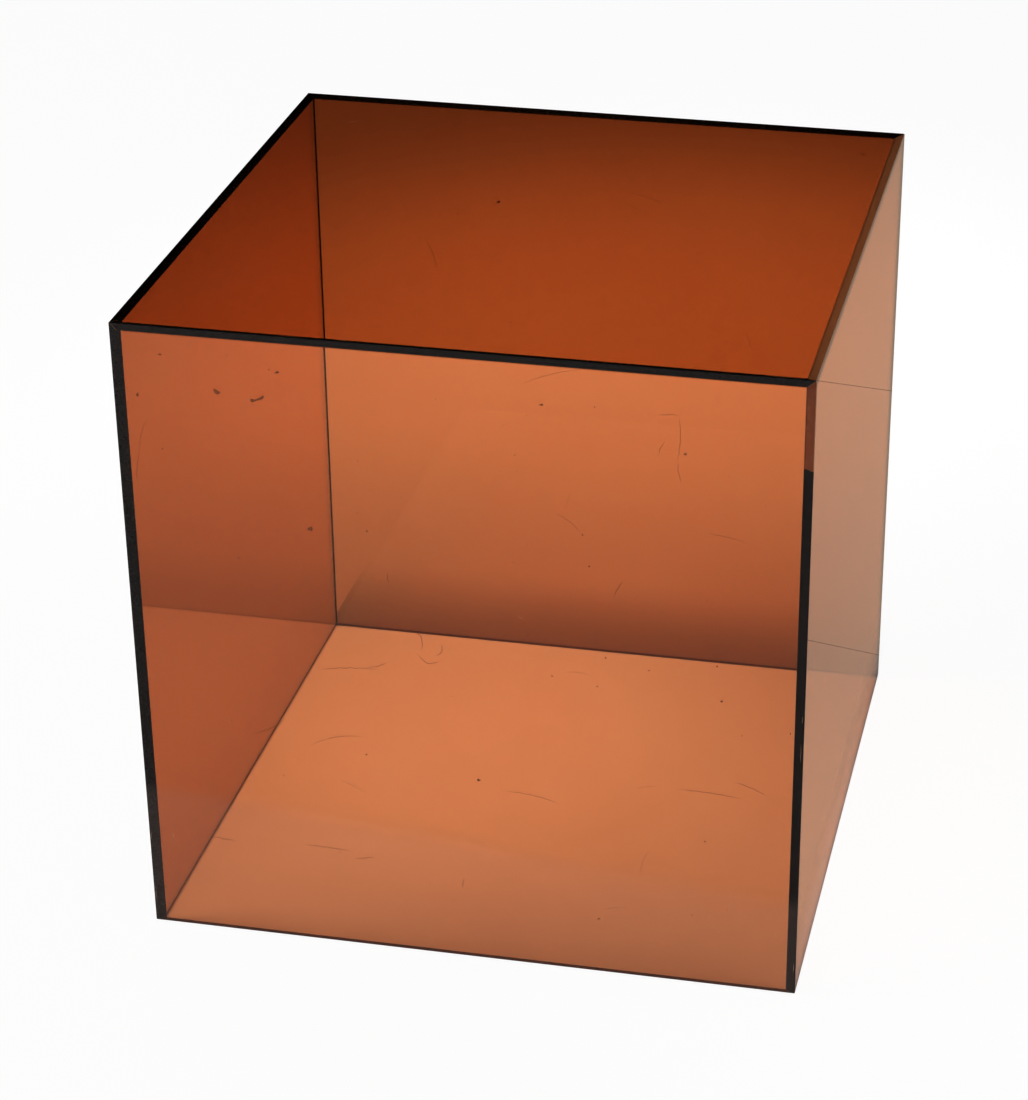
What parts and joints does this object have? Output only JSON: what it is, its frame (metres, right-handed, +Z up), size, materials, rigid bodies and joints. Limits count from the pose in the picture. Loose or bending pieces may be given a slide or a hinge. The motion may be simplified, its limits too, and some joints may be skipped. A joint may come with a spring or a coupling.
{
  "type": "acrylic display cube",
  "caption": "Five-sided display cube of tinted transparent acrylic sheet with mitred, cemented edges and an open bottom, set over an object to cover it or used as a plinth.",
  "frame": {"origin": "middle of the open bottom, on the surface that the cube stands on", "axes": "+Z up through the middle of the top panel, -Y towards the front panel, +X towards the right panel"},
  "size_m": [0.4, 0.4, 0.4],
  "materials": {
    "tinted_acrylic": "polished transparent copper-amber sheet, lightly scratched",
    "dark_cement": "hard dark cement film, glossy where exposed",
    "brown_cement": "thin brown cement film, glossy where exposed"
  },
  "bodies": {
    "root": {"top_panel": "tinted_acrylic", "front_panel": "tinted_acrylic", "right_panel": "tinted_acrylic", "back_panel": "tinted_acrylic", "left_panel": "tinted_acrylic", "front_left_seam": "dark_cement", "front_right_seam": "dark_cement", "back_right_seam": "dark_cement", "back_left_seam": "dark_cement", "top_front_seam": "dark_cement", "top_right_seam": "brown_cement", "top_back_seam": "dark_cement", "top_left_seam": "dark_cement"}
  },
  "joints": []
}
